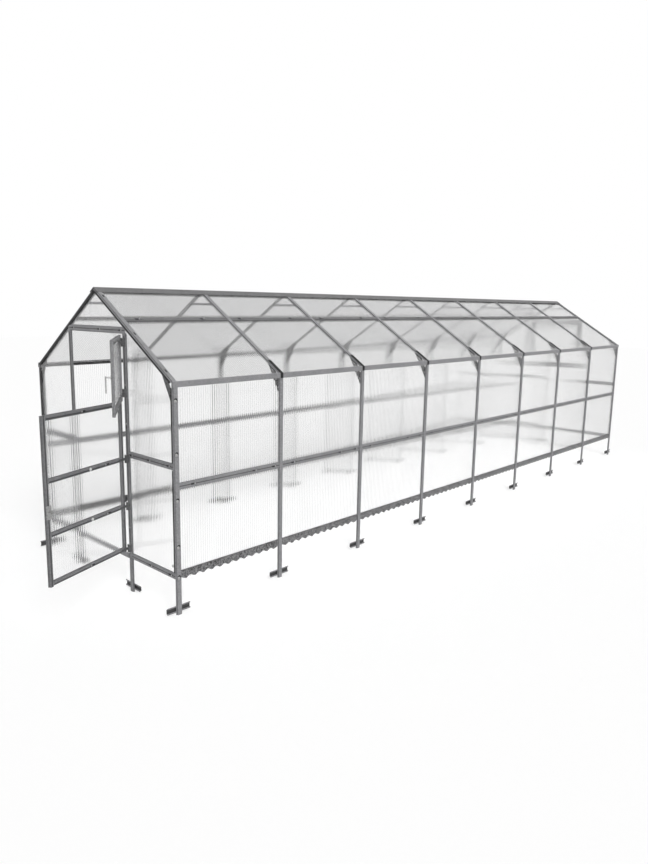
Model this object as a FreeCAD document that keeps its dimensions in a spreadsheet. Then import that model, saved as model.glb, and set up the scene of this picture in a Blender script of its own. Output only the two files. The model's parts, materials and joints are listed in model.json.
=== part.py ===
import FreeCAD, Part
import math
import os
import re
import Sketcher

# A greenhouse of hat-section steel frames glazed with twin-wall sheet.
# X is across the house, Y runs from the door gable to the rear gable, Z is up.
# The origin is the front edge of the door threshold's underside, on the ground line.
# A hat profile has a crown facing out, two legs and two flanges that lie on the glazing.

SIZES = {
    # Whole house
    "bay_length": 1000,
    "bay_count": 8,
    "house_width": 2000,
    "eave_height": 1411,
    "ridge_height": 2050,
    "leg_depth": 264,
    "end_inset": 25,
    # Hat profiles: posts and rafters, rails between them, door leaves, top edges of the walls
    "steel_wall": 1.5,
    "post_crown": 34,
    "post_depth": 11,
    "post_flange": 8,
    "rail_crown": 34,
    "rail_depth": 9,
    "rail_flange": 8,
    "leaf_crown": 24,
    "leaf_depth": 15,
    "leaf_flange": 7,
    "edge_crown": 10,
    "edge_flange": 5,
    # Glazing
    "glazing": 4,
    "glazing_gap": 6,
    "seat_gap": 1,
    # Long walls and roof
    "mid_rail_height": 681,
    "purlin_drop": 231,
    "eave_drop": 36,
    "eave_lap": 8,
    "flashing": 2,
    "cap_width": 66,
    "strap_width": 26,
    "strap_reach": 170,
    "strap_thickness": 3,
    "base_height": 65,
    "base_drop": 5,
    "base_lip": 12,
    "wave_depth": 15,
    "wave_count": 12,
    # Plates in the plane of each frame
    "knee_reach": 170,
    "knee_lip": 12,
    "knee_band": 85,
    "knee_inset": 6,
    "plate_thickness": 3,
    "plate_setback": 17,
    "tie_drop": 118,
    "tie_depth": 20,
    # Feet
    "foot_length": 200,
    "foot_lift": 20,
    # Gables
    "door_post_x": 406,
    "threshold_height": 36,
    "gable_rail_height": 822,
    "lintel_drop": 311,
    "transom_height": 1041,
    # Leaves and their hinges
    "hinge_x": 415,
    "hinge_stand": 24,
    "pin_radius": 3,
    "pin_clearance": 0.05,
    "knuckle_radius": 6,
    "knuckle_height": 20,
    "knuckle_gap": 0.3,
    "hinge_plate": 3,
    "strap_hinge_reach": 70,
    "leaf_width": 795,
    "leaf_edge": 8,
    "lower_bottom": 76,
    "lower_top": 1225,
    "leaf_clearance": 5,
    "lower_rail_one": 428,
    "lower_rail_two": 791,
    "vent_rise": 9,
    "hinge_inset": 55,
    "lower_open": 109.6,
    "upper_open": 145.5,
    # Sliding bolt of the lower leaf and its keeper
    "bolt_height": 586,
    "bolt_radius": 5,
    "bolt_clearance": 0.3,
    "bolt_reach": 5,
    "bolt_length": 70,
    "bolt_plate_width": 44,
    "bolt_plate_height": 92,
    "bolt_stand": 7,
    "guide_width": 8,
    "guide_height": 18,
    "knob_radius": 3.5,
    "knob_length": 16,
    "keeper_height": 30,
    # Turning levers of the upper leaf and of the vent
    "lever_x": 774,
    "lever_drop": 230,
    "lever_stand": 38,
    "lever_length": 105,
    "lever_width": 14,
    "lever_thickness": 8,
    "rose_radius": 13,
    "rose_height": 4,
    "spindle_radius": 5,
}

# Lengths that follow from the sizes above
DERIVED = {
    "half_width": "house_width / 2",
    "roof_rise": "ridge_height - eave_height",
    "slope_length": "sqrt(half_width ^ 2 + roof_rise ^ 2)",
    "slope_cos": "half_width / slope_length",
    "slope_sin": "roof_rise / slope_length",
    "roof_angle": "atan(roof_rise / half_width)",
    "eave_bevel": "(1 - slope_sin) / slope_cos",
    "house_length": "bay_count * bay_length + 2 * end_inset",
    "post_half": "post_crown / 2 + post_flange",
    "rail_half": "rail_crown / 2 + rail_flange",
    "leaf_half": "leaf_crown / 2 + leaf_flange",
    "edge_depth": "rail_depth",
    "edge_half": "edge_crown / 2 + edge_flange",
    "post_top": "eave_height - post_depth * slope_cos - seat_gap",
    "rail_set": "post_depth - rail_depth",
    "bay_clear": "bay_length - post_crown",
    "bay_start": "end_inset + post_crown / 2",
    "sheet_start": "end_inset + glazing_gap / 2",
    "sheet_length": "bay_length - glazing_gap",
    "under_rafter": "post_depth + seat_gap",
    "under_sheet": "post_depth + glazing",
    "purlin_run": "(roof_rise - purlin_drop) / slope_sin",
    "tie_height": "ridge_height - tie_drop",
    "lintel_height": "ridge_height - lintel_drop",
    "apex_cut": "post_depth * slope_sin / slope_cos + seat_gap",
    "lintel_bottom": "lintel_height - rail_half",
    "lintel_reach": "(lintel_drop - rail_half) / slope_sin * slope_cos - under_rafter / slope_sin",
    "upper_bottom": "lower_top + leaf_clearance",
    "upper_top": "lintel_bottom - leaf_clearance",
    "vent_bottom": "transom_height + vent_rise",
    "lower_hinge_one": "lower_bottom + leaf_half",
    "upper_hinge_one": "upper_bottom + hinge_inset",
    "upper_hinge_two": "upper_top - hinge_inset",
    "vent_hinge_one": "vent_bottom + hinge_inset",
    "lever_height": "upper_top - lever_drop",
    "leaf_face": "hinge_stand - leaf_depth - glazing - 2 * seat_gap",
    "leaf_back": "leaf_face + leaf_depth",
    "leaf_clear": "leaf_width - leaf_edge - 2 * (leaf_flange + leaf_crown)",
    "lever_base": "leaf_back + glazing",
}


def bound(text):
    """Write a length given in plain names as an expression on the sheet's cells."""
    def cell(match):
        word = match.group(0)
        if word in DERIVED:
            return "(" + bound(DERIVED[word]) + ")"
        return "sizes." + word if word in SIZES else word
    return re.sub(r"[a-z_]+", cell, str(text))


def minus(text):
    return "-(" + text + ")"


def origin_feature(body, role):
    return [item for item in body.Origin.OriginFeatures if item.Role == role][0]


def new_body(label):
    body = doc.addObject("PartDesign::Body", label)
    body.Label = label
    nodes.append(body)
    return body


def hold(sketch, geometry, point, x, y):
    """Tie one point of a sketch to its place."""
    for kind, length in (("DistanceX", x), ("DistanceY", y)):
        index = sketch.addConstraint(Sketcher.Constraint(kind, -1, 1, geometry, point, 1.0))
        sketch.setExpression("Constraints[%d]" % index, bound(length))


def add_polygon(sketch, points):
    first = sketch.GeometryCount
    count = len(points)
    corners = [FreeCAD.Vector(math.cos(math.tau * i / count), math.sin(math.tau * i / count), 0)
               for i in range(count)]
    for i in range(count):
        sketch.addGeometry(Part.LineSegment(corners[i], corners[(i + 1) % count]), False)
    for i in range(count):
        sketch.addConstraint(Sketcher.Constraint("Coincident", first + i, 2, first + (i + 1) % count, 1))
    for i, (x, y) in enumerate(points):
        hold(sketch, first + i, 1, x, y)


def add_circle(sketch, x, y, radius):
    circle = Part.Circle(FreeCAD.Vector(0, 0, 0), FreeCAD.Vector(0, 0, 1), 1)
    geometry = sketch.addGeometry(circle, False)
    hold(sketch, geometry, 3, x, y)
    index = sketch.addConstraint(Sketcher.Constraint("Radius", geometry, 1.0))
    sketch.setExpression("Constraints[%d]" % index, bound(radius))


def draw(body, plane, loops=(), circles=(), lift="0"):
    """A sketch on one of the body's own planes, lifted along the plane's normal."""
    sketch = body.newObject("Sketcher::SketchObject", body.Name + "_sketch")
    sketch.AttachmentSupport = [(origin_feature(body, plane), "")]
    sketch.MapMode = "FlatFace"
    sketch.setExpression("AttachmentOffset.Base.z", bound(lift))
    for points in loops:
        add_polygon(sketch, points)
    for x, y, radius in circles:
        add_circle(sketch, x, y, radius)
    return sketch


def pad(body, sketch, length, backward=False):
    feature = body.newObject("PartDesign::Pad", body.Name + "_pad")
    feature.Profile = sketch
    feature.setExpression("Length", bound(length))
    feature.Reversed = backward
    body.Tip = feature
    return feature


def pocket(body, sketch, length, backward=False):
    feature = body.newObject("PartDesign::Pocket", body.Name + "_pocket")
    feature.Profile = sketch
    feature.setExpression("Length", bound(length))
    feature.Reversed = backward
    body.Tip = feature
    return feature


def repeat(body, features, axis, pitch, count, backward=False):
    """Copies of the features in a row along one of the body's axes."""
    pattern = body.newObject("PartDesign::LinearPattern", body.Name + "_row")
    pattern.Originals = features
    pattern.Direction = (origin_feature(body, axis), [""])
    pattern.Reversed = backward
    pattern.setExpression("Length", bound("(%s) * (%s - 1)" % (pitch, count)))
    pattern.setExpression("Occurrences", bound(count))
    body.Tip = pattern


HALF_TURN = "placement(vector(0; house_length; 0); rotationz(180))"
UPRIGHT = {"right": "rotationz(-90)", "front": "rotationz(180)", "rear": "rotationz(0)"}
ALONG_WALL_INWARD = "rotationz(180) * rotation(vector(1; 1; 1); 240)"
ALONG_GABLE = "rotation(vector(1; 0; 1); 180)"
UP_ROOF = "rotationy(roof_angle) * rotation(vector(1; -1; -1); 120)"
LEVEL = "rotationz(0)"


def place(body, spot=("0", "0", "0"), turn=LEVEL, before=None):
    """Put a body at a spot with a turn, carried by an earlier placement if one is given."""
    text = "placement(vector(%s; %s; %s); %s)" % (*spot, turn)
    if before:
        text = before + " * " + text
    body.setExpression("Placement", bound(text))


def both_ways(half):
    """An outline from its right half, mirrored in the vertical axis."""
    return half + [(minus(x), y) for x, y in reversed(half)]


def hat_outline(kind):
    """Hat section with its crown at y = 0 facing +Y."""
    crown, flange, depth = kind + "_crown / 2", kind + "_flange", kind + "_depth"
    shelf = "steel_wall - " + depth
    tip = crown + " + " + flange
    inner = crown + " - steel_wall"
    return both_ways([(crown, "0"), (crown, shelf), (tip, shelf), (tip, minus(depth)),
                      (inner, minus(depth)), (inner, "-steel_wall")])


def channel_outline(kind):
    """Crown and legs of the hat section, without its flanges."""
    crown, shelf = kind + "_crown / 2", "steel_wall - " + kind + "_depth"
    inner = crown + " - steel_wall"
    return both_ways([(crown, "0"), (crown, shelf), (inner, shelf), (inner, "-steel_wall")])


def flange_outlines(kind):
    crown, depth = kind + "_crown / 2", kind + "_depth"
    inner, tip, shelf = crown + " - steel_wall", crown + " + " + kind + "_flange", "steel_wall - " + depth
    right = [(inner, shelf), (tip, shelf), (tip, minus(depth)), (inner, minus(depth))]
    return [right, [(minus(x), y) for x, y in right]]


def hat_bar(label, kind, length, spot, turn, before=None, row=None):
    """A hat profile cut square at both ends; row is (axis, pitch, count, backward)."""
    body = new_body(label)
    bar = pad(body, draw(body, "XY_Plane", [hat_outline(kind)]), length)
    if row:
        repeat(body, [bar], *row)
    place(body, spot, turn, before)
    return body


def add_rail(body, kind, length, notches, lift="0"):
    """A hat profile whose flanges stop short, so that its crown reaches the crown it meets."""
    crown = pad(body, draw(body, "XY_Plane", [channel_outline(kind)], lift=lift), length)
    flange_lift = "%s + (%s)" % (notches[0], lift)
    flange_length = "%s - (%s) - (%s)" % (length, *notches)
    flanges = pad(body, draw(body, "XY_Plane", flange_outlines(kind), lift=flange_lift), flange_length)
    return [crown, flanges]


def rail(label, kind, length, notches, spot, turn, before=None, row=None):
    body = new_body(label)
    features = add_rail(body, kind, length, notches)
    if row:
        repeat(body, features, *row)
    place(body, spot, turn, before)
    return body


def up_slope(run, depth, sign=""):
    """A point on the right roof slope, run along it from the eave and depth below its crowns."""
    x = "half_width - (%s) * slope_cos - (%s) * slope_sin" % (run, depth)
    z = "eave_height + (%s) * slope_sin - (%s) * slope_cos" % (run, depth)
    return (sign + "(" + x + ")", z)


# Posts, rafters and feet

def long_wall_frames():
    legs = "leg_depth + post_top"
    for end, y in (("front", "end_inset"), ("rear", "house_length - end_inset")):
        spot = ("half_width", y, "-leg_depth")
        other = "rear" if end == "front" else "front"
        hat_bar("corner_post_%s_right" % end, "post", legs, spot, UPRIGHT["right"])
        hat_bar("corner_post_%s_left" % other, "post", legs, spot, UPRIGHT["right"], HALF_TURN)
    for side, before in (("right", None), ("left", HALF_TURN)):
        spot = ("half_width", "end_inset + bay_length", "-leg_depth")
        row = ("X_Axis", "bay_length", "bay_count - 1", True)
        hat_bar("side_posts_" + side, "post", legs, spot, UPRIGHT["right"], before, row)
        row = ("X_Axis", "bay_length", "bay_count + 1", True)
        spot = ("half_width", "end_inset", "eave_height")
        hat_bar("rafters_" + side, "post", "slope_length - apex_cut", spot, UP_ROOF, before, row)
        foot_height = "foot_lift + post_half - leg_depth"
        spot = ("half_width - 2 * post_depth", "end_inset + foot_length / 2", foot_height)
        row = ("Z_Axis", "bay_length", "bay_count + 1", True)
        hat_bar("foot_bars_" + side, "post", "foot_length", spot, ALONG_WALL_INWARD, before, row)


# Rails of the long walls and of the roof, drawn across the house

def on_wall(height, sign=""):
    """Maps a rail's section to a long wall, with its middle at a height."""
    return lambda u, v: (sign + "(half_width - rail_set + (%s))" % v, "%s + (%s)" % (height, u))


def on_roof(run, sign=""):
    """Maps a rail's section to a roof slope, with its middle at a run from the eave."""
    return lambda u, v: up_slope("%s + (%s)" % (run, u), "rail_set - (%s)" % v, sign)


def bay_rails(label, maps, profile="rail"):
    """One rail in each bay for each map; its crown reaches the posts' crowns over their flanges."""
    body = new_body(label)
    crowns = [[lay(u, v) for u, v in channel_outline(profile)] for lay in maps]
    flanges = [[lay(u, v) for u, v in loop] for lay in maps for loop in flange_outlines(profile)]
    crown = pad(body, draw(body, "XZ_Plane", crowns), "bay_clear", True)
    flange_sketch = draw(body, "XZ_Plane", flanges, lift="-post_flange")
    flange = pad(body, flange_sketch, "bay_clear - 2 * post_flange", True)
    repeat(body, [crown, flange], "Y_Axis", "bay_length", "bay_count")
    place(body, ("0", "bay_start", "0"))


def long_wall_rails():
    bay_rails("mid_rails", [on_wall("mid_rail_height"), on_wall("mid_rail_height", "-")])
    top = "post_top - edge_half"
    bay_rails("top_rails", [on_wall(top), on_wall(top, "-")], "edge")
    bay_rails("purlins", [on_roof("purlin_run"), on_roof("purlin_run", "-")])


def base_outline():
    """Side view of a base rail: a straight top and a lower edge that waves."""
    length = "(bay_clear - 2 * post_flange)"
    points = [(length, "base_height"), ("0", "base_height")]
    low, high = "-base_drop", "wave_depth - base_drop"
    for wave in range(SIZES["wave_count"]):
        for share, height in ((0.1, high), (0.4, low), (0.6, low), (0.9, high)):
            points.append(("%s * %g / wave_count" % (length, wave + share), height))
    points[2] = ("0", high)
    points[-1] = (length, high)
    return points


def base_rails():
    body = new_body("base_rails")
    length = "bay_clear - 2 * post_flange"
    seat = "half_width - post_depth"
    lip_outline = [("0", "base_height - steel_wall"), (length, "base_height - steel_wall"),
                   (length, "base_height"), ("0", "base_height")]
    features = []
    for lift, backward in ((seat, False), (minus(seat), True)):
        for outline, reach in ((base_outline(), "flashing"), (lip_outline, "base_lip")):
            features.append(pad(body, draw(body, "YZ_Plane", [outline], lift=lift), reach, backward))
    repeat(body, features, "Y_Axis", "bay_length", "bay_count")
    place(body, ("0", "bay_start + post_flange", "0"))


def eaves_and_ridge():
    bottom, face = "eave_height - eave_drop", "half_width + flashing"
    corner = (face, "eave_height + flashing * eave_bevel")
    lap, lap_top = up_slope("eave_lap", "0"), up_slope("eave_lap", "-flashing")
    beam = [("half_width", bottom), (face, bottom), corner, lap_top, lap, ("half_width", "eave_height")]
    for side, before in (("right", None), ("left", HALF_TURN)):
        body = new_body("eave_beam_" + side)
        pad(body, draw(body, "XZ_Plane", [beam]), "house_length", True)
        place(body, before=before)

    outer, outer_depth = face + " + strap_thickness", "(flashing + strap_thickness)"
    strap = [(face, bottom), corner, lap_top, lap, up_slope("strap_reach", "0"),
             up_slope("strap_reach", "-" + outer_depth),
             (outer, "eave_height + %s * eave_bevel" % outer_depth), (outer, bottom)]
    body = new_body("eave_straps")
    loops = [strap, [(minus(x), z) for x, z in strap]]
    straps = pad(body, draw(body, "XZ_Plane", loops), "strap_width", True)
    repeat(body, [straps], "Y_Axis", "bay_length", "bay_count - 1")
    place(body, ("0", "end_inset + bay_length - strap_width / 2", "0"))

    edge = ("cap_width * slope_cos", "ridge_height - cap_width * slope_sin")
    edge_top = (edge[0] + " + flashing * slope_sin", edge[1] + " + flashing * slope_cos")
    body = new_body("ridge_cap")
    outline = [("0", "ridge_height + flashing / slope_cos"), edge_top, edge, ("0", "ridge_height"),
               (minus(edge[0]), edge[1]), (minus(edge_top[0]), edge_top[1])]
    pad(body, draw(body, "XZ_Plane", [outline]), "house_length", True)
    place(body)


# Plates in the plane of each frame, which pass between the sheets into the hats

def knee_loops(sign=""):
    inner = "under_sheet + knee_lip"
    window = "under_sheet + knee_inset"
    reach = "knee_reach - knee_band"

    def on_post(depth, drop):
        return (sign + "(half_width - (%s))" % depth, "eave_height - (%s)" % drop)

    plate = [on_post("steel_wall", "knee_reach"), on_post("steel_wall", "steel_wall * eave_bevel"),
             up_slope("knee_reach", "steel_wall", sign), up_slope("knee_reach", inner, sign),
             on_post(inner, "knee_reach")]
    hole = [on_post(window, "(%s) * eave_bevel" % window), on_post(window, reach),
            up_slope(reach, window, sign)]
    return [plate, hole]


def tie_outline():
    """A flat bar whose ends are cut to the slope and meet the inside of the rafters' crowns."""
    low, high = "tie_height - tie_depth / 2", "tie_height + tie_depth / 2"

    def reach(height):
        return "(ridge_height - (%s)) / slope_sin * slope_cos - steel_wall / slope_sin" % height

    return both_ways([(reach(low), low), (reach(high), high)])


def frame_plates():
    """Plates at every frame; those of the two gables stand behind the gable sheets."""
    ends = ("plate_setback", "house_length - plate_setback - plate_thickness")
    middle = "end_inset + bay_length - plate_thickness / 2"
    plates = (("knee_plates_right", knee_loops()), ("knee_plates_left", knee_loops("-")),
              ("collar_ties", [tie_outline()]))
    for label, loops in plates:
        body = new_body(label)
        first = pad(body, draw(body, "XZ_Plane", loops, lift=minus(middle)), "plate_thickness", True)
        repeat(body, [first], "Y_Axis", "bay_length", "bay_count - 1")
        for end in ends:
            pad(body, draw(body, "XZ_Plane", loops, lift=minus(end)), "plate_thickness", True)
        place(body)


# Gables

def gable_posts():
    length = "lintel_bottom + leg_depth"
    for name, x in (("door_hinge_post", "door_post_x"), ("door_latch_post", "-door_post_x")):
        hat_bar(name, "post", length, (x, "0", "-leg_depth"), UPRIGHT["front"])
    spot = ("door_post_x", "house_length", "-leg_depth")
    hat_bar("rear_posts", "post", length, spot, UPRIGHT["rear"], row=("X_Axis", "2 * door_post_x", "2", True))

    body = new_body("foot_bars_gables")
    level = "foot_lift + post_half - leg_depth"
    front = [("2 * post_depth + (%s)" % v, "%s + (%s)" % (level, u)) for u, v in hat_outline("post")]
    rear = [("house_length - (%s)" % y, z) for y, z in front]
    bars = pad(body, draw(body, "YZ_Plane", [front, rear]), "foot_length")
    repeat(body, [bars], "X_Axis", "2 * door_post_x", "2")
    place(body, ("-door_post_x - foot_length / 2", "0", "0"))


def gable_frame(end, before):
    start = "(door_post_x + post_crown / 2)"
    length = "(half_width - post_depth - %s)" % start
    mirror_lift = "-(2 * %s + %s)" % (start, length)
    for name, height in (("gable_rails_", "gable_rail_height"), ("sills_", "rail_half")):
        body = new_body(name + end)
        add_rail(body, "rail", length, ("post_flange", "0"))
        add_rail(body, "rail", length, ("0", "post_flange"), mirror_lift)
        place(body, (start, "rail_set", height), ALONG_GABLE, before)
    # The threshold is a flat tube between the two sills, flush with the posts' crowns.
    inner = "(door_post_x - post_half)"
    low, high, front, back = "-rail_half", "threshold_height - rail_half", "rail_set", "rail_set - post_depth"
    tube = [(low, front), (high, front), (high, back), (low, back)]
    low, high = low + " + steel_wall", high + " - steel_wall"
    front, back = front + " - steel_wall", back + " + steel_wall"
    hollow = [(low, front), (high, front), (high, back), (low, back)]
    pad(body, draw(body, "XY_Plane", [tube, hollow], lift="-%s - %s" % (inner, start)), "2 * " + inner)

    spot = ("-lintel_reach", "rail_set", "lintel_height")
    hat_bar("lintel_" + end, "rail", "2 * (lintel_reach)", spot, ALONG_GABLE, before)


def rear_transom():
    spot = ("post_crown / 2 - door_post_x", "rail_set", "transom_height")
    rail("rear_transom", "rail", "2 * door_post_x - post_crown", ("post_flange", "post_flange"),
         spot, ALONG_GABLE, HALF_TURN)


# Glazing

def wall_and_roof_sheets():
    for side, before in (("right", None), ("left", HALF_TURN)):
        body = new_body("wall_sheets_" + side)
        top = "post_top + seat_gap"
        outline = [("0", "seat_gap"), ("sheet_length", "seat_gap"), ("sheet_length", top), ("0", top)]
        sheet_pad = pad(body, draw(body, "YZ_Plane", [outline]), "glazing")
        repeat(body, [sheet_pad], "Y_Axis", "bay_length", "bay_count")
        place(body, ("half_width - under_sheet", "sheet_start", "0"), LEVEL, before)

        body = new_body("roof_sheets_" + side)
        start, finish = "glazing + 3 * seat_gap", "slope_length - apex_cut - glazing"
        outline = [up_slope(start, "post_depth"), up_slope(finish, "post_depth"),
                   up_slope(finish, "under_sheet"), up_slope(start, "under_sheet")]
        sheet_pad = pad(body, draw(body, "XZ_Plane", [outline]), "sheet_length", True)
        repeat(body, [sheet_pad], "Y_Axis", "bay_length", "bay_count")
        place(body, ("0", "sheet_start", "0"), LEVEL, before)


def under_roof(x):
    """Height of the rafters' flange plane over a place x from the middle of the house."""
    return "ridge_height - (%s) / slope_cos * slope_sin - under_rafter / slope_cos" % x


def gable_sheets(end, before):
    body = new_body("gable_sheets_" + end)
    inner, outer = "door_post_x - post_crown / 2", "half_width - post_depth - seat_gap"
    side = [(inner, "seat_gap"), (outer, "seat_gap"), (outer, under_roof(outer)), (inner, under_roof(inner))]
    other = [(minus(x), z) for x, z in side]
    edge = inner + " - seat_gap"
    low = "lintel_bottom + seat_gap"
    top = [(edge, low), (edge, under_roof(edge)), ("0", under_roof("0")),
           (minus(edge), under_roof(edge)), (minus(edge), low)]
    loops = [side, other, top]
    if end == "rear":
        high = "transom_height + rail_half"
        loops.append([(edge, "seat_gap"), (edge, high), (minus(edge), high), (minus(edge), "seat_gap")])
    for loop in loops:
        pad(body, draw(body, "XZ_Plane", [loop]), "glazing", True)
    place(body, ("0", "post_depth", "0"), LEVEL, before)


# Leaves: drawn shut with the hinge line at the origin, reaching along -X, then swung to rest

def swung(angle, before=None):
    text = "placement(vector(hinge_x; -hinge_stand; 0); rotationz(%s))" % angle
    return before + " * " + text if before else text


def leaf(name, bottom, top, middle_rails, carried):
    height = "%s - %s" % (top, bottom)
    body = new_body(name + "_stiles")
    for away in ("leaf_edge + leaf_half", "leaf_width - leaf_half"):
        stile = [("%s + %s" % (u, away), v) for u, v in hat_outline("leaf")]
        pad(body, draw(body, "XY_Plane", [stile]), height)
    place(body, ("0", "leaf_face", bottom), UPRIGHT["front"], carried)

    body = new_body(name + "_rails")
    levels = [bottom + " + leaf_half", top + " - leaf_half"] + middle_rails
    for level in levels:
        shift = [[("%s + (%s)" % (u, level), v) for u, v in loop]
                 for loop in [channel_outline("leaf")] + flange_outlines("leaf")]
        pad(body, draw(body, "XY_Plane", shift[:1]), "leaf_clear")
        pad(body, draw(body, "XY_Plane", shift[1:], lift="leaf_flange"), "leaf_clear - 2 * leaf_flange")
    spot = ("leaf_flange + leaf_crown - leaf_width", "leaf_face", "0")
    place(body, spot, ALONG_GABLE, carried)

    body = new_body(name + "_sheet")
    left, right = "seat_gap - leaf_width", "-leaf_edge - seat_gap"
    low, high = bottom + " + seat_gap", top + " - seat_gap"
    outline = [(left, low), (right, low), (right, high), (left, high)]
    pad(body, draw(body, "XZ_Plane", [outline]), "glazing", True)
    place(body, ("0", "leaf_back", "0"), LEVEL, carried)


def strap_hinges(name, heights, carried):
    """Moving hinge halves: a strap on the leaf's crowns and the middle knuckle."""
    body = new_body(name + "_straps")
    length = "knuckle_height - 2 * knuckle_gap"
    for height in heights:
        lift = "%s - knuckle_height / 2 + knuckle_gap" % height
        strap = [("0", "leaf_face - hinge_plate"), ("0", "leaf_face"), ("-strap_hinge_reach", "leaf_face"),
                 ("-strap_hinge_reach", "leaf_face - hinge_plate")]
        pad(body, draw(body, "XY_Plane", [strap], lift=lift), length)
        pad(body, draw(body, "XY_Plane", circles=[("0", "0", "knuckle_radius")], lift=lift), length)
        hole = draw(body, "XY_Plane", circles=[("0", "0", "pin_radius + pin_clearance")],
                    lift="%s + knuckle_height" % height)
        pocket(body, hole, "2 * knuckle_height")
    place(body, before=carried)


def fixed_hinges(name, heights, before=None):
    """Fixed hinge halves: a cranked plate on the post and two outer knuckles."""
    body = new_body(name + "_hinge_plates")
    third = "knuckle_height"
    foot_end = "hinge_x - knuckle_radius"
    web = "hinge_x + knuckle_radius + seat_gap"
    web_out = web + " + hinge_plate"
    for height in heights:
        low = "%s - 1.5 * knuckle_height" % height
        arm = minus("hinge_stand - hinge_plate / 2")
        arm_out = minus("hinge_stand + hinge_plate / 2")
        crank = [(foot_end, "0"), (web_out, "0"), (web_out, arm_out), ("hinge_x", arm_out),
                 ("hinge_x", arm), (web, arm), (web, "-hinge_plate"), (foot_end, "-hinge_plate")]
        pad(body, draw(body, "XY_Plane", [crank], lift=low), "3 * " + third)
        knuckle = [("hinge_x", "-hinge_stand", "knuckle_radius")]
        pad(body, draw(body, "XY_Plane", circles=knuckle, lift=low), "3 * " + third)
        near, far = "hinge_x - 2 * knuckle_radius", web + " - knuckle_gap"
        slot_end = minus("hinge_plate + seat_gap")
        slot = [(near, "-2 * hinge_stand"), (far, "-2 * hinge_stand"), (far, slot_end), (near, slot_end)]
        pocket(body, draw(body, "XY_Plane", [slot], lift="%s + knuckle_height / 2" % height), third)
        hole = [("hinge_x", "-hinge_stand", "pin_radius + pin_clearance")]
        pocket(body, draw(body, "XY_Plane", circles=hole, lift="%s + 2 * knuckle_height" % height),
               "4 * " + third)
    place(body, before=before)


def hinge_pins(places):
    """One headed pin for each place (x, y, height)."""
    body = new_body("hinge_pins")
    for x, y, height in places:
        low, high = "%s - 1.5 * knuckle_height" % height, "%s + 1.5 * knuckle_height" % height
        pad(body, draw(body, "XY_Plane", circles=[(x, y, "pin_radius")], lift=low), "3 * knuckle_height")
        pad(body, draw(body, "XY_Plane", circles=[(x, y, "knuckle_radius")], lift=high), "hinge_plate")
    place(body)


def sliding_bolt(carried):
    """Bolt plate with two guides on the lower leaf's free stile, the bolt, and its keeper on the post."""
    face = "leaf_face - hinge_plate"
    outer = "-leaf_width"
    inner = "bolt_plate_width - leaf_width"
    axis_y = face + " - bolt_stand"
    low, high = "bolt_height - bolt_plate_height / 2", "bolt_height + bolt_plate_height / 2"
    bore = "bolt_radius + bolt_clearance"

    body = new_body("lower_bolt_plate")
    plate = [(outer, face), (inner, face), (inner, "leaf_face"), (outer, "leaf_face")]
    pad(body, draw(body, "XY_Plane", [plate], lift=low), "bolt_plate_height")
    for start in (outer, inner + " - guide_width"):
        finish = start + " + guide_width"
        front = axis_y + " - guide_height / 2"
        guide = [(start, front), (finish, front), (finish, face), (start, face)]
        pad(body, draw(body, "XY_Plane", [guide], lift="bolt_height - guide_height / 2"), "guide_height")
    hole = draw(body, "YZ_Plane", circles=[(axis_y, "bolt_height", bore)], lift=inner + " + guide_width")
    pocket(body, hole, "bolt_plate_width + 2 * guide_width")
    place(body, before=carried)

    body = new_body("lower_bolt")
    tip = "-leaf_width - bolt_reach"
    rod = draw(body, "YZ_Plane", circles=[(axis_y, "bolt_height", "bolt_radius")], lift=tip)
    pad(body, rod, "bolt_length")
    knob_x = inner + " - guide_width - knob_radius - seat_gap"
    knob = draw(body, "XZ_Plane", circles=[(knob_x, "bolt_height", "knob_radius")], lift=minus(axis_y))
    pad(body, knob, "knob_length")
    place(body, before=carried)

    body = new_body("bolt_keeper")
    inner = "post_crown / 2 - door_post_x"
    wall = inner + " - hinge_plate"
    bolt_y = axis_y + " - hinge_stand"
    reach = bolt_y + " - guide_height / 2"
    foot = inner + " - guide_height"
    angle = [(inner, "0"), (inner, reach), (wall, reach), (wall, "-hinge_plate"),
             (foot, "-hinge_plate"), (foot, "0")]
    pad(body, draw(body, "XY_Plane", [angle], lift="bolt_height - keeper_height / 2"), "keeper_height")
    hole = draw(body, "YZ_Plane", circles=[(bolt_y, "bolt_height", bore)], lift=inner + " + hinge_plate")
    pocket(body, hole, "3 * hinge_plate")
    place(body)


def turning_lever(name, height, carried):
    """Lever on the inner side of a leaf: a rose, a spindle and a blade that hangs down."""
    body = new_body(name + "_lever")
    end = "lever_base + lever_stand"
    for radius, length in (("rose_radius", "rose_height"), ("spindle_radius", "lever_stand")):
        disc = draw(body, "XZ_Plane", circles=[("-lever_x", height, radius)], lift=minus("lever_base"))
        pad(body, disc, length, True)
    half = "lever_width / 2"
    left, right = "-lever_x - " + half, half + " - lever_x"
    low, high = "%s + %s - lever_length" % (height, half), "%s + %s" % (height, half)
    blade = draw(body, "XZ_Plane", [[(left, low), (right, low), (right, high), (left, high)]],
                 lift=minus(end + " - lever_thickness"))
    pad(body, blade, "lever_thickness", True)
    place(body, before=carried)


doc = FreeCAD.newDocument("greenhouse")
nodes = []
sheet = doc.addObject("Spreadsheet::Sheet", "sizes")
for number, (name, value) in enumerate(SIZES.items(), start=1):
    sheet.set("A%d" % number, name.replace("_", " "))
    sheet.set("B%d" % number, str(value))
    sheet.setAlias("B%d" % number, name)
doc.recompute()

long_wall_frames()
long_wall_rails()
base_rails()
eaves_and_ridge()
frame_plates()
gable_posts()
gable_frame("front", None)
gable_frame("rear", HALF_TURN)
rear_transom()
wall_and_roof_sheets()
gable_sheets("front", None)
gable_sheets("rear", HALF_TURN)

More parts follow.
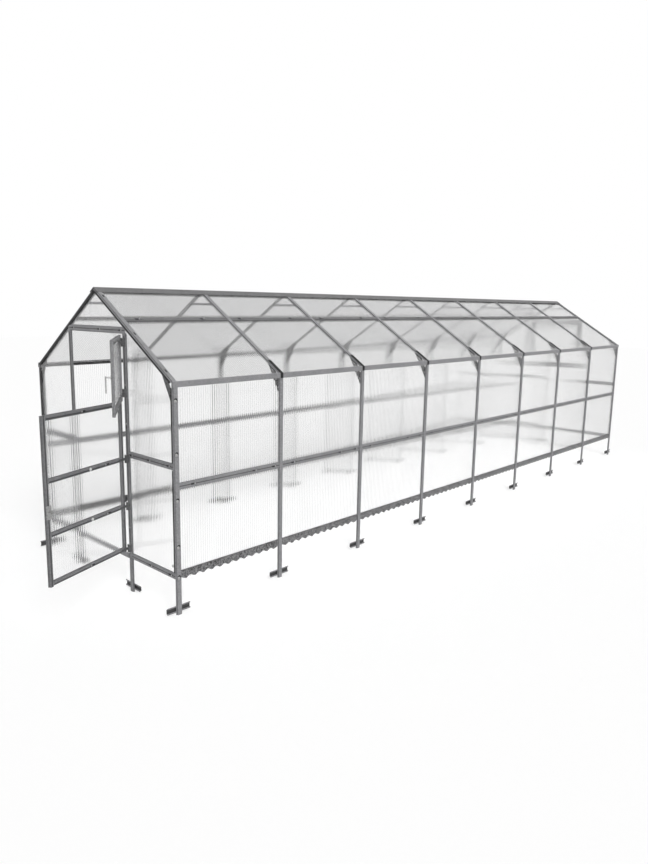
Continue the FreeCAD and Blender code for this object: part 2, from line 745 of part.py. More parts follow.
lower_hinges = ["lower_hinge_one", "lower_rail_one", "lower_rail_two"]
upper_hinges = ["upper_hinge_one", "upper_hinge_two"]
vent_hinges = ["vent_hinge_one", "upper_hinge_two"]
lower, upper, vent = swung("lower_open"), swung("upper_open"), swung("0", HALF_TURN)
leaf("lower_leaf", "lower_bottom", "lower_top", ["lower_rail_one", "lower_rail_two"], lower)
leaf("upper_leaf", "upper_bottom", "upper_top", [], upper)
leaf("vent", "vent_bottom", "upper_top", [], vent)
strap_hinges("lower_leaf", lower_hinges, lower)
strap_hinges("upper_leaf", upper_hinges, upper)
strap_hinges("vent", vent_hinges, vent)
fixed_hinges("door", lower_hinges + upper_hinges)
fixed_hinges("vent", vent_hinges, HALF_TURN)
hinge_pins([("hinge_x", "-hinge_stand", height) for height in lower_hinges + upper_hinges]
           + [("-hinge_x", "house_length + hinge_stand", height) for height in vent_hinges])
sliding_bolt(lower)
turning_lever("upper", "lever_height", upper)
turning_lever("vent", "lever_height", vent)

doc.recompute()
failed = [item.Name for item in doc.Objects if "Invalid" in item.State or "Error" in item.State]
failed += [body.Label for body in nodes if body.Shape.isNull() or not body.Shape.isValid()]
if failed:
    raise RuntimeError("these objects failed: " + ", ".join(failed))

os.makedirs("parts", exist_ok=True)
for body in nodes:
    body.Shape.exportStep("parts/%s.step" % body.Label)
print(len(nodes), "nodes,", sum(len(body.Shape.Solids) for body in nodes), "solids")
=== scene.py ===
# %% [markdown]
# # A steel greenhouse glazed with twin-wall sheet
# The imported model holds every profile, plate, hinge and sheet at its real size.
# This lesson dresses it: zinc on the steel, flutes in the clear sheets, and the screws that hold them.
# The shapes could be drawn anew here, but taking them from the model keeps the two alike to the millimetre.
# The box of the bare model is kept first, and the floor is set by it.

# %% Load the model
import json
import math

import bmesh
import bpy
from mathutils import Matrix, Vector


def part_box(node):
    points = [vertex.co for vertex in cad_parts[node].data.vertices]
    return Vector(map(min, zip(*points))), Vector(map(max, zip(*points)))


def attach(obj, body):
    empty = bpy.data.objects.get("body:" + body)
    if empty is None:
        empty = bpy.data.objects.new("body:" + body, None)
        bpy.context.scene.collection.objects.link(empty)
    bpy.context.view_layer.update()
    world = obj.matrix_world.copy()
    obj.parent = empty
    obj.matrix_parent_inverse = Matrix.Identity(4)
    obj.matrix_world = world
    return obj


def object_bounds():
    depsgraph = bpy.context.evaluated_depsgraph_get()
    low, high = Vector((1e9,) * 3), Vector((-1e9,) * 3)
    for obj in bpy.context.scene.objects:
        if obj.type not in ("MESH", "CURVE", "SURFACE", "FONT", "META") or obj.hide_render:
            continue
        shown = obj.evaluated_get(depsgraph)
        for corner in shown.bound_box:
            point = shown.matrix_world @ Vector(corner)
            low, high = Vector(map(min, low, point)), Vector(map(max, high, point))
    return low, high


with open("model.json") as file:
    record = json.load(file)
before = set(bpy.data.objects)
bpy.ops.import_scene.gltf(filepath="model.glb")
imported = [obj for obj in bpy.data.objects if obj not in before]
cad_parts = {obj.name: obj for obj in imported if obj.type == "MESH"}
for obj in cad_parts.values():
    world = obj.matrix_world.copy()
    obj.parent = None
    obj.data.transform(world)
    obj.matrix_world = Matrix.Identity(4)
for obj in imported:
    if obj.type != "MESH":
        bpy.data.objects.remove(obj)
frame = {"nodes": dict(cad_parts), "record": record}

cad_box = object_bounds()
nodes = frame["nodes"]
scene = bpy.context.scene

# %% [markdown]
# ## The camera
# The house is seen from its front right corner, a little above the eaves, through a fairly wide lens.
# A wide lens makes the far gable small next to the near one, so the lens matters as much as the place.
# The sensor is fitted to the height of the upright image.
# A small shift moves the house in the frame without turning the camera away from it.

# %% Camera
IMAGE_HEIGHT = 864
FOCAL_PIXELS = 685.53
SENSOR_HEIGHT = 36
CAMERA_SHIFT = 0.02834, -0.00441
CAMERA_PLACE = 4.8254, -2.6817, 1.9244
CAMERA_ANGLES = 79.932, -0.658, 44.484
camera = bpy.data.objects.new("camera", bpy.data.cameras.new("camera"))
camera.data.sensor_fit = "VERTICAL"
camera.data.sensor_height = SENSOR_HEIGHT
camera.data.lens = FOCAL_PIXELS / IMAGE_HEIGHT * SENSOR_HEIGHT
camera.data.shift_x, camera.data.shift_y = CAMERA_SHIFT
camera.location = CAMERA_PLACE
camera.rotation_euler = [math.radians(angle) for angle in CAMERA_ANGLES]
scene.collection.objects.link(camera)
scene.camera = camera
print("lens:", round(camera.data.lens, 2), "mm")

# %% [markdown]
# ## Node trees in few words
# A finish in Blender is a tree of shader nodes, which could be linked by hand in the editor.
# A script can be changed in one place and run again, but it needs several lines for each node.
# Two helpers bring that down to one: the first empties a tree, the second adds a node with its inputs.

# %% Helpers for node trees
def plain_tree(data):
    """An empty node tree, for a material or the world."""
    data.use_nodes = True
    data.node_tree.nodes.clear()
    return data.node_tree


def add(tree, kind, links=None, **settings):
    """A node whose named inputs are linked from sockets or set to values."""
    node = tree.nodes.new("ShaderNode" + kind)
    for name, value in settings.items():
        setattr(node, name, value)
    for name, value in (links or {}).items():
        socket = node.inputs[name]
        if isinstance(value, bpy.types.NodeSocket):
            tree.links.new(value, socket)
        else:
            socket.default_value = value
    return node


print("helpers: plain_tree, add")

# %% [markdown]
# ## The surround
# A catalogue shows such a house on plain white, which the steel and the sheets mirror.
# One white background could do both, but as a light it would wash every shadow away.
# So the surround is pure white to the camera, to mirrors and through the sheets.
# To all other rays it is a gentler light.

# %% White surround
WHITE = (1, 1, 1, 1)
FILL = 0.36


def seen_rays(tree):
    """1 for rays of the camera, of mirrors and through glass, else 0."""
    path = add(tree, "LightPath").outputs
    mirror = add(tree, "Math", {0: path["Is Camera Ray"], 1: path["Is Glossy Ray"]}, operation="MAXIMUM")
    both = add(tree, "Math", {0: mirror.outputs[0], 1: path["Is Transmission Ray"]}, operation="MAXIMUM")
    return both.outputs[0]


world = bpy.data.worlds.new("surround")
scene.world = world
tree = plain_tree(world)
fill = add(tree, "Background", {"Color": WHITE, "Strength": FILL})
white = add(tree, "Background", {"Color": WHITE, "Strength": 1.0})
mix = add(tree, "MixShader", {0: seen_rays(tree), 1: fill.outputs[0], 2: white.outputs[0]})
add(tree, "OutputWorld", {"Surface": mix.outputs[0]})
print("surround lights with", FILL, "of its white")

# %% [markdown]
# ## The studio floor
# The legs end in foot bars, so the floor lies at the level of the feet.
# White paper could be lit until it looks white, but the same light would bleach the sheets.
# So the paper is grey and glows a little where it is seen, and still takes the shadow of the house.

# %% Pale floor
FLOOR_HALF = 40
FLOOR_GREY = 0.45
FLOOR_GLOW = 0.57
feet = cad_box[0][2]
corners = [(x * FLOOR_HALF, y * FLOOR_HALF, feet) for x, y in ((-1, -1), (1, -1), (1, 1), (-1, 1))]
floor_mesh = bpy.data.meshes.new("floor")
floor_mesh.from_pydata(corners, [], [(0, 1, 2, 3)])
floor = bpy.data.objects.new("floor", floor_mesh)
scene.collection.objects.link(floor)

pale = bpy.data.materials.new("pale_floor")
tree = plain_tree(pale)
diffuse = add(tree, "BsdfDiffuse", {"Color": (FLOOR_GREY, FLOOR_GREY, FLOOR_GREY, 1)})
glow_level = add(tree, "Math", {0: seen_rays(tree), 1: FLOOR_GLOW}, operation="MULTIPLY")
glow = add(tree, "Emission", {"Color": WHITE, "Strength": glow_level.outputs[0]})
lit = add(tree, "AddShader", {0: diffuse.outputs[0], 1: glow.outputs[0]})
add(tree, "OutputMaterial", {"Surface": lit.outputs[0]})
floor_mesh.materials.append(pale)
print("floor at", round(feet, 3), "m")

# %% [markdown]
# ## The lamp
# A lamp close by would light the near bays of an eight metre house more than the far ones.
# A sun lamp lights every bay alike, and its wide angle stands for a large soft box.
# It comes from the right, so that the long wall is the bright one.

# %% Lamp
KEY_FROM = Vector((0.88, -0.4, 0.75))
KEY_ANGLE = 35
KEY_STRENGTH = 2.9
key = bpy.data.objects.new("key_lamp", bpy.data.lights.new("key_lamp", "SUN"))
key.data.energy = KEY_STRENGTH
key.data.angle = math.radians(KEY_ANGLE)
key.rotation_euler = KEY_FROM.to_track_quat("Z", "Y").to_euler()
scene.collection.objects.link(key)
scene.view_settings.view_transform = "Standard"
print("lamp strength:", KEY_STRENGTH)

# %% [markdown]
# ## The hollow of the foot bars
# A foot bar is an open channel that faces out, sideways under the long walls and lengthways under the gables.
# Its inside gets little light, so it looks dark next to its rim.
# The inside could be cut off and given a finish of its own, but a place tells the shader how deep it lies,
# and the shader paints the shade there.

# %% Painted shade in a hollow
# The grey of the painted shade inside a foot bar's hollow.
HOLLOW_SHADE_GREY = (0.05, 0.05, 0.051)
HOLLOW_RIM = 0.003


def with_hollow_shade(tree, place, colour, axis, middle, edge):
    """The colour, with painted shade where the place along an axis is nearer to the middle than the edge is.
    """
    along = add(tree, "SeparateXYZ", {"Vector": place}).outputs[axis]
    offset = add(tree, "Math", {0: along, 1: middle}, operation="SUBTRACT").outputs[0]
    away = add(tree, "Math", {0: offset}, operation="ABSOLUTE").outputs[0]
    share = add(tree, "MapRange", {"Value": away, "From Min": edge, "From Max": edge - HOLLOW_RIM})
    mix = add(tree, "Mix", {"Factor": share.outputs[0]}, data_type="RGBA")
    ends = {socket.name: socket for socket in mix.inputs if socket.type == "RGBA"}
    tree.links.new(colour, ends["A"])
    ends["B"].default_value = (*HOLLOW_SHADE_GREY, 1)
    return next(socket for socket in mix.outputs if socket.type == "RGBA")


print("hollow fades over", HOLLOW_RIM, "m")

# %% [markdown]
# ## Zinc on steel
# Hot-dip galvanising leaves a dull grey skin of zinc crystals, each a slightly different grey.
# A picture of such a skin would blur close up, so the crystals are random cells worked out by the shader.
# Slow noise on top gives the cloudy patches of weather, and the roughness follows the same mix.

# %% The zinc finish
CRYSTAL_SCALE, CLOUD_SCALE, GRAIN_SCALE = 140.0, 5.0, 420.0
CLOUD_DETAIL, CLOUD_ROUGHNESS = 6.0, 0.65
GRAIN_DETAIL, GRAIN_STRENGTH, GRAIN_DEPTH = 3.0, 0.1, 0.0006
DARK_END, LIGHT_END = 0.25, 0.75


def zinc(name, dark, light, roughness=(0.42, 0.6), metal=0.4, clouds=0.55, gloss=0.5, hollow=None):
    """Galvanised steel between two greys.

    roughness is that of the light and of the dark patches.
    hollow is the axis, middle and edge of an inside darkened with painted shade.
    """
    material = bpy.data.materials.new(name)
    tree = plain_tree(material)
    place = add(tree, "TexCoord").outputs["Object"]
    crystals = add(tree, "TexVoronoi", {"Vector": place, "Scale": CRYSTAL_SCALE, "Randomness": 1.0})
    grey = add(tree, "SeparateColor", {"Color": crystals.outputs["Color"]}).outputs[0]
    cloud = add(tree, "TexNoise", {"Vector": place, "Scale": CLOUD_SCALE, "Detail": CLOUD_DETAIL,
                                   "Roughness": CLOUD_ROUGHNESS}).outputs["Fac"]
    blend = add(tree, "Mix", {"Factor": clouds, "A": grey, "B": cloud}, data_type="FLOAT").outputs["Result"]
    ramp = add(tree, "ValToRGB", {"Fac": blend})
    for stop, position, shade in zip(ramp.color_ramp.elements, (DARK_END, LIGHT_END), (dark, light)):
        stop.position = position
        stop.color = (*shade, 1)
    colour = ramp.outputs["Color"]
    if hollow:
        colour = with_hollow_shade(tree, place, colour, *hollow)
    shine = add(tree, "MapRange", {"Value": blend, "To Min": roughness[1], "To Max": roughness[0]})
    grain = add(tree, "TexNoise", {"Vector": place, "Scale": GRAIN_SCALE, "Detail": GRAIN_DETAIL})
    bump = add(tree, "Bump", {"Height": grain.outputs["Fac"], "Strength": GRAIN_STRENGTH,
                              "Distance": GRAIN_DEPTH})
    steel = add(tree, "BsdfPrincipled", {"Base Color": colour, "Metallic": metal,
                                         "Specular IOR Level": gloss,
                                         "Roughness": shine.outputs["Result"],
                                         "Normal": bump.outputs["Normal"]})
    add(tree, "OutputMaterial", {"Surface": steel.outputs[0]})
    return material


print("zinc crystals for each metre:", CRYSTAL_SCALE)

# %% [markdown]
# ## One zinc for each kind of steel
# Profiles, ridge, purlins and hinges get greys of their own, knees, top rails and door bars get darker greys
# of painted shade, and the straps are nearly black with painted shade.
# One grey for all could be tuned by the lamp alone, but then the parts would run into each other.
# The same routine with other greys keeps the skin alike and tells the parts apart.

# %% Steel finishes
STEEL = (0.196, 0.196, 0.203), (0.286, 0.286, 0.294)
DULL = (0.5, 0.65)
SATIN = (0.45, 0.65)
BRIGHT = (0.3, 0.45)
finishes = {
    "galvanised": zinc("zinc_profiles", *STEEL),
    "ridge_steel": zinc("zinc_ridge", (0.105, 0.105, 0.107), (0.17, 0.17, 0.172), DULL, metal=0.3),
    "base_strip": zinc("zinc_base_strip", (0.035, 0.035, 0.036), (0.25, 0.25, 0.255), clouds=0.3),
    "hardware": zinc("zinc_hardware", (0.27, 0.27, 0.27), (0.42, 0.42, 0.415), BRIGHT, metal=0.7),
    # The near black of the straps, slot liners and post cups is painted shade.
    "dark_strap": zinc("dark_strap", (0.012, 0.012, 0.013), (0.03, 0.03, 0.032), SATIN, metal=0.0,
                       gloss=0.15),
}
# Knee plates and top rails are nearly black with painted shade.
shaded_knee_steel = zinc("zinc_knees_shaded", (0.012, 0.012, 0.013), (0.05, 0.05, 0.052), SATIN, metal=0.1, gloss=0.25)
purlin_steel = zinc("zinc_purlins", (0.13, 0.13, 0.133), (0.21, 0.21, 0.214))
# The door posts and leaf bars get a darker copy of the steel: painted shade.
shaded_door_steel = zinc("zinc_doors_shaded", (0.15, 0.15, 0.155), (0.235, 0.235, 0.241))
hinge_steel = zinc("zinc_hinges", (0.06, 0.06, 0.062), (0.12, 0.12, 0.123))
print("steel finishes:", ", ".join(finishes), "and knees, purlins, doors, hinges")

# %% [markdown]
# ## Pieces with a steel of their own
# The feet of the long walls and of the gables face different ways, which one finish can't know.
# So there are two, each with painted shade a few millimetres behind its outer face.
# Knees, purlins, door bars and hinges could be picked by hand, but the starts of their names are enough.

# %% Foot bars, and which pieces differ
HOLLOW_DEPTH = 0.004
DOOR_BARS = ("door_hinge_post", "door_latch_post", "lower_leaf_rails", "lower_leaf_stiles",
             "upper_leaf_rails", "upper_leaf_stiles", "vent_rails", "vent_stiles")
HINGES = ("door_hinge_plates", "vent_hinge_plates", "lower_leaf_straps", "upper_leaf_straps", "vent_straps")


def middle_of(name, axis):
    """The middle of a node's box along an axis."""
    low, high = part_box(name)
    return (getattr(low, axis) + getattr(high, axis)) / 2


house_middle = middle_of("ridge_cap", "y")
side_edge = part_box("foot_bars_right")[1].x - HOLLOW_DEPTH
gable_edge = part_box("foot_bars_gables")[1].y - house_middle - HOLLOW_DEPTH
# Both finishes of the feet carry painted shade in their hollows.
side_feet = zinc("zinc_long_feet", *STEEL, hollow=("X", 0.0, side_edge))
gable_feet = zinc("zinc_gable_feet", *STEEL, hollow=("Y", house_middle, gable_edge))
# The first start that fits a node's name decides, so the gables' feet stand before the others.
own_steel = {
    "knee_plates": shaded_knee_steel, "top_rails": shaded_knee_steel, "purlins": purlin_steel,
    "foot_bars_gables": gable_feet, "foot_bars": side_feet,
    **dict.fromkeys(DOOR_BARS, shaded_door_steel), **dict.fromkeys(HINGES, hinge_steel),
}
print("kinds of pieces with a steel of their own:", len(own_steel))

# %% [markdown]
# ## The twin-wall sheets
# A twin-wall sheet is two thin clear skins joined by a web every few millimetres.
# The cells between the webs bend light like a row of lenses, so what stands behind is smeared sideways.
# Modelling each cell would need thousands of faces per bay.
# A wave in the surface normal bends light the same way, and a faint milky line stands for each web.
# Lamps shine through by a see-through shader, because a lamp's rays can't find a way through bent glass.

# %% The twin-wall finish
FLUTE_PITCH = 0.02
FLUTE_SWELL = 0.0003
SHEET_ROUGHNESS = 0.085
SHEET_IOR = 1.4
LAMP_SHARE = 0.65
WEB_SHARE = 0.09
WEB_EDGE = 0.8
# The wave texture multiplies a place by this number before it takes the sine.
WAVE_TURN = 20.0
MILKY_WHITE = (0.85, 0.86, 0.87, 1)
HAZE_SCALE, HAZE_DETAIL = 2.2, 4.0
HAZE_RANGE = {"From Min": 0.3, "From Max": 0.7, "To Min": 0.01, "To Max": 0.035}


def twin_wall(name, turn, tint, roughness=SHEET_ROUGHNESS, swell=FLUTE_SWELL, webs=WEB_SHARE):
    """Clear fluted sheet; turn is the angle from X to the line across its flutes."""
    material = bpy.data.materials.new(name)
    tree = plain_tree(material)
    place = add(tree, "TexCoord").outputs["Object"]
    across = add(tree, "Mapping", {"Vector": place, "Rotation": (0, 0, -math.radians(turn))},
                 vector_type="POINT")
    scale = math.tau / (WAVE_TURN * FLUTE_PITCH)
    flutes = add(tree, "TexWave", {"Vector": across.outputs[0], "Scale": scale}, wave_type="BANDS",
                 bands_direction="X", wave_profile="SIN").outputs["Fac"]
    lines = add(tree, "ValToRGB", {"Fac": flutes})
    lines.color_ramp.elements[0].position = WEB_EDGE
    bump = add(tree, "Bump", {"Height": flutes, "Strength": 1.0, "Distance": swell})
    clear = add(tree, "BsdfPrincipled", {"Base Color": (tint, tint, tint, 1), "Roughness": roughness,
                                         "IOR": SHEET_IOR, "Transmission Weight": 1.0,
                                         "Normal": bump.outputs["Normal"]})
    milky = add(tree, "BsdfTranslucent", {"Color": MILKY_WHITE})
    haze = add(tree, "TexNoise", {"Vector": place, "Scale": HAZE_SCALE, "Detail": HAZE_DETAIL})
    haze = add(tree, "MapRange", {"Value": haze.outputs["Fac"], **HAZE_RANGE})
    share = add(tree, "MapRange", {"Value": lines.outputs["Color"], "To Min": 0.0, "To Max": webs})
    share = add(tree, "Math", {0: share.outputs[0], 1: haze.outputs[0]}, operation="ADD")
    sheet = add(tree, "MixShader", {0: share.outputs[0], 1: clear.outputs[0], 2: milky.outputs[0]})
    through = add(tree, "BsdfTransparent", {"Color": (LAMP_SHARE, LAMP_SHARE, LAMP_SHARE, 1)})
    lamp_ray = add(tree, "LightPath").outputs["Is Shadow Ray"]
    both = add(tree, "MixShader", {0: lamp_ray, 1: sheet.outputs[0], 2: through.outputs[0]})
    add(tree, "OutputMaterial", {"Surface": both.outputs[0]})
    return material


print("flutes for each metre:", round(1 / FLUTE_PITCH))

# %% [markdown]
# ## One sheet finish for each side
# The flutes stand upright in the walls and run up the roof, so each side turns its wave to its own face.
# The long walls break what is behind them into streaks, by a strong wave on a smooth skin.
# The roof is seen at a low angle, which strengthens every wave, so its own is weak and its webs show more.
# The upper leaf is the dullest sheet, so it has hardly any wave on a rough skin.
# One finish for all would be shorter, but would make either the walls too clear or the roof too blurred.

# %% Sheet finishes
# How far the leaves of the door stand open at rest, in degrees.
LOWER_REST, UPPER_REST = 109.6, 145.5
WALL_TURN, GABLE_TURN = 90, 0
WALL_TINT, ROOF_TINT = 0.97, 0.765
WALL_ROUGHNESS, ROOF_ROUGHNESS, DULL_ROUGHNESS = 0.05, 0.035, 0.25
WALL_SWELL, ROOF_SWELL, DULL_SWELL = 2 * FLUTE_SWELL, FLUTE_SWELL / 3, FLUTE_SWELL / 10
ROOF_WEBS, FAINT_WEBS = 1.6 * WEB_SHARE, WEB_SHARE / 3
wall_clear = twin_wall("twin_wall_long_walls", WALL_TURN, WALL_TINT, WALL_ROUGHNESS, WALL_SWELL)
roof_clear = twin_wall("twin_wall_roof", WALL_TURN, ROOF_TINT, ROOF_ROUGHNESS, ROOF_SWELL, ROOF_WEBS)
gable_clear = twin_wall("twin_wall_gables", GABLE_TURN, WALL_TINT, webs=FAINT_WEBS)
lower_clear = twin_wall("twin_wall_lower_leaf", LOWER_REST, WALL_TINT, webs=FAINT_WEBS)
upper_clear = twin_wall("twin_wall_upper_leaf", UPPER_REST, WALL_TINT, DULL_ROUGHNESS, DULL_SWELL)
clear_finishes = {
    "wall_sheets_right": wall_clear, "wall_sheets_left": wall_clear,
    "roof_sheets_right": roof_clear, "roof_sheets_left": roof_clear,
    "gable_sheets_front": gable_clear, "gable_sheets_rear": gable_clear, "vent_sheet": gable_clear,
    "lower_leaf_sheet": lower_clear, "upper_leaf_sheet": upper_clear,
}
print("sheets with a clear finish:", len(clear_finishes))

# %% [markdown]
# ## Dressing the model
# The model's record gives every node a material slot, such as galvanised or hardware.
# Each node could be dressed by hand, but a node added later would then stay bare.
# So the slot decides, unless the node is a sheet or has a steel of its own.

# %% Every node gets its finish
slots = {row["node"]: row["material_slot"] for row in frame["record"]["subparts"]}
for name, node in nodes.items():
    finish = clear_finishes[name] if name in clear_finishes else finishes[slots[name]]
    finish = next((steel for start, steel in own_steel.items() if name.startswith(start)), finish)
    node.data.materials.clear()
    node.data.materials.append(finish)
print("dressed nodes:", len(nodes))

# %% [markdown]
# ## Screws and slots
# The rails are held by screws in long slots, so that the frame can be lined up before it is tightened.
# From some metres away each shows as a dark dash with a bright dot.
# Without them the steel looks like a drawing.
# A slot could be cut into the steel, but a thin dark liner on its face, painted shade for the inside of the
# slot, looks the same from there.

# %% Slots and cups
SLOT_LENGTH, SLOT_WIDTH, SLOT_RISE = 0.048, 0.012, 0.0008
WIDE_SLOT_LENGTH, WIDE_SLOT_WIDTH = 1.2 * SLOT_LENGTH, 1.7 * SLOT_WIDTH
CUP_LENGTH, CUP_WIDTH = 0.03045, 0.029
END_STEPS = 7


def add_slot_shade(mesh, where, length=SLOT_LENGTH, width=SLOT_WIDTH):
    """The liner of a slot, which carries its painted shade: an oblong with a bevelled rim."""
    rings = []
    for inset, rise in ((0.0, 0.0), (0.0, SLOT_RISE / 2), (SLOT_RISE, SLOT_RISE)):
        ring = []
        for end in (1, -1):
            for step in range(END_STEPS):
                angle = math.pi * (step / (END_STEPS - 1) - 0.5) + (0 if end == 1 else math.pi)
                reach = width / 2 - inset
                x = end * (length - width) / 2 + reach * math.cos(angle)
                ring.append(mesh.verts.new(where @ Vector((x, reach * math.sin(angle), rise))))
        rings.append(ring)
    for low, high in zip(rings, rings[1:]):
        for i in range(len(low)):
            j = (i + 1) % len(low)
            mesh.faces.new((low[i], low[j], high[j], high[i]))
    mesh.faces.new(rings[-1])


def add_wide_slot_shade(mesh, where):
    """The wider slot of a purlin."""
    add_slot_shade(mesh, where, WIDE_SLOT_LENGTH, WIDE_SLOT_WIDTH)


def add_cup_shade(mesh, where):
    """The cup under a cap on a post, dark with painted shade, a little longer than it is wide."""
    add_slot_shade(mesh, where, CUP_LENGTH, CUP_WIDTH)


print("drawn flat: slot, wide slot, cup")

# %% [markdown]
# ## Heads and caps
# A screw has a washer and a six-sided head, and a button is a domed cap over a screw.
# On the door's hinge post the leaves shut over the screws, so these are countersunk.
# All could be turned from an outline, but a stack of cones gives the same form with few faces.

# %% Screws and buttons
WASHER_RADIUS, WASHER_RISE, WASHER_SIDES = 0.007, 0.0018, 16
WASHER_TOP = 0.93 * WASHER_RADIUS
HEAD_RADIUS, HEAD_RISE, HEAD_SIDES = 0.0052, 0.0058, 6
HEAD_TOP, CHAMFER_START = 0.7 * HEAD_RADIUS, 0.8 * HEAD_RISE
FLAT_RISE = 0.0014
BUTTON_SIDES = 18
BUTTON_OUTLINE = ((0.0, 0.0115), (0.002, 0.0115), (0.0045, 0.009), (0.006, 0.004))


def add_cone(mesh, where, sides, foot, top, low, high):
    """A cut-off cone between two heights, with a radius at its foot and one at its top."""
    lift = Matrix.Translation((0, 0, (low + high) / 2))
    bmesh.ops.create_cone(mesh, cap_ends=True, segments=sides, radius1=foot, radius2=top,
                          depth=high - low, matrix=where @ lift)


def add_screw(mesh, where):
    """A washer under a hexagonal head with a chamfered top."""
    add_cone(mesh, where, WASHER_SIDES, WASHER_RADIUS, WASHER_TOP, 0.0, WASHER_RISE)
    add_cone(mesh, where, HEAD_SIDES, HEAD_RADIUS, HEAD_RADIUS, WASHER_RISE, CHAMFER_START)
    add_cone(mesh, where, HEAD_SIDES, HEAD_RADIUS, HEAD_TOP, CHAMFER_START, HEAD_RISE)


def add_flat_screw(mesh, where):
    """A countersunk screw, flat enough for a leaf to shut over it."""
    add_cone(mesh, where, WASHER_SIDES, WASHER_RADIUS, HEAD_RADIUS, 0.0, FLAT_RISE)


def add_button(mesh, where):
    """A domed cap over a screw, on a sheet or a post."""
    for (low, foot), (high, top) in zip(BUTTON_OUTLINE, BUTTON_OUTLINE[1:]):
        add_cone(mesh, where, BUTTON_SIDES, foot, top, low, high)


print("drawn as cones: screw, flat screw, button")

# %% [markdown]
# ## Many fasteners in one piece
# Copies of one object would be a hundred pieces to keep track of.
# So a routine draws all fasteners of one shape into one mesh for each moving body.
# A place is a point, the normal of the face there and the way along the slot.

# %% From places to pieces
def seat(place, normal, along):
    """Places a fastener: its own Z points away from the steel and its X along the slot."""
    normal, along = Vector(normal).normalized(), Vector(along).normalized()
    turn = Matrix((along, normal.cross(along), normal)).transposed()
    return Matrix.Translation(place) @ turn.to_4x4()


def shifted(places, along=0.0, across=0.0):
    """The same places, moved along their slots and across them."""
    moved = []
    for place, normal, way in places:
        way, normal = Vector(way).normalized(), Vector(normal).normalized()
        moved.append((Vector(place) + way * along + normal.cross(way) * across, normal, way))
    return moved


def set_on(body, name, mesh, finish):
    """Makes a drawn mesh a piece of the scene that moves with a body."""
    data = bpy.data.meshes.new(name)
    mesh.to_mesh(data)
    mesh.free()
    data.materials.append(finish)
    piece = bpy.data.objects.new(name, data)
    scene.collection.objects.link(piece)
    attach(piece, body)


def fasteners(name, body, places, shape, slot, finish=None):
    """One piece that holds a fastener of one shape at every place on a body."""
    mesh = bmesh.new()
    for place in places:
        shape(mesh, seat(*place))
    set_on(body, name, mesh, finish or finishes[slot])


print("a place is a point, a normal and a way")

# %% [markdown]
# ## Measures of the frame
# The house stands on frames one bay apart, and every fastener on the long walls repeats with them.
# Places could be typed in one by one, but then a longer house would need all of them again.
# So they come from the boxes of the profiles and the spacing of the frames.

# %% Frames, faces and slopes
BAYS = 8
EAVE_HEIGHT, RIDGE_HEIGHT = 1.411, 2.05
PURLIN_RUN = 0.758
# Right and left, as signs of X.
SIDES = (1, -1)
first_frame = middle_of("corner_post_front_right", "y")
last_frame = middle_of("corner_post_rear_right", "y")
bay_length = (last_frame - first_frame) / BAYS
bay_starts = [first_frame + bay * bay_length for bay in range(BAYS)]
wall_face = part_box("side_posts_right")[1].x
rail_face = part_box("mid_rails")[1].x
rail_height = middle_of("mid_rails", "z")
rail_set = wall_face - rail_face
slope = Vector((wall_face, 0, RIDGE_HEIGHT - EAVE_HEIGHT)).normalized()


def on_roof(run, y, side, below=0.0):
    """A place on a slope at a run up from the eave, its normal and the way up."""
    up = Vector((-side * slope.x, 0, slope.z))
    normal = Vector((side * slope.z, 0, slope.x))
    return Vector((side * wall_face, y, EAVE_HEIGHT)) + up * run - normal * below, normal, up


print("bay:", round(bay_length, 3), "m")

# %% [markdown]
# ## Fasteners on the long walls and the roof
# The middle rails have three slots in each bay, the purlins two wider ones, and the end rafters three.
# On the corner posts each screw sits under a cap in a cup, dark with painted shade.
# The slots' shares of a bay are measured once, and a loop repeats them on both sides.

# %% Places on the long walls and the roof
ALONG_WALL, UPRIGHT = (0, 1, 0), (0, 0, 1)
RAIL_SLOT_SHARES = (0.14, 0.72, 0.925)
PURLIN_SLOT_SHARES = (0.13, 0.73)
RAFTER_SLOT_RUNS = (0.137, 0.58, 1.076)
CUP_HEIGHTS = (1.287, 0.913, 0.584, 0.246, 0.02)
house_slots, purlin_slots, post_cups = [], [], []
for side in SIDES:
    outward = (side, 0, 0)
    for start in bay_starts:
        for share in RAIL_SLOT_SHARES:
            place = (side * rail_face, start + share * bay_length, rail_height)
            house_slots.append((place, outward, ALONG_WALL))
        for share in PURLIN_SLOT_SHARES:
            place, normal = on_roof(PURLIN_RUN, start + share * bay_length, side, rail_set)[:2]
            purlin_slots.append((place, normal, ALONG_WALL))
    for y in (first_frame, last_frame):
        post_cups += [((side * wall_face, y, height), outward, UPRIGHT) for height in CUP_HEIGHTS]
        house_slots += [on_roof(run, y, side) for run in RAFTER_SLOT_RUNS]
print("slots:", len(house_slots), "purlin slots:", len(purlin_slots), "cups:", len(post_cups))

# %% [markdown]
# ## Fasteners on the gables and the knees
# Lintels, gable rails and sills have slots at places of their own, alike in front and behind.
# Three bolts hold each knee plate of the inner frames.
# Buttons hold the front sheets next to the corner posts.
# The faces that they sit on come from the boxes of the bars and the sheets.

# %% Places on the gables and the knees
FRONTWARD, ALONG_GABLE = (0, -1, 0), (1, 0, 0)
# A gable's name, the way out of it along Y, and the corner of a box that lies on its outside.
GABLES = (("front", -1, 0), ("rear", 1, 1))
GABLE_SLOTS = {
    "lintel": (-0.345, 0.06, 0.36),
    "gable_rails": (-0.93, -0.69, -0.46, 0.46, 0.69, 0.93),
    "sills": (-0.93, -0.68, 0.68, 0.93),
}
POST_SLOT_HEIGHTS = (1.33, 1.04, 0.24)
KNEE_BOLTS = ((0.963, 1.3), (0.934, 1.36), (0.896, 1.43))
PLATE_HALF = 0.0015
BUTTON_ACROSS, BUTTON_HEIGHTS = 0.947, (0.668, 0.094)
for gable, out, corner in GABLES:
    for bar, across in GABLE_SLOTS.items():
        name = bar + "_" + gable
        y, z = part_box(name)[corner].y, middle_of(name, "z")
        house_slots += [((x, y, z), (0, out, 0), ALONG_GABLE) for x in across]

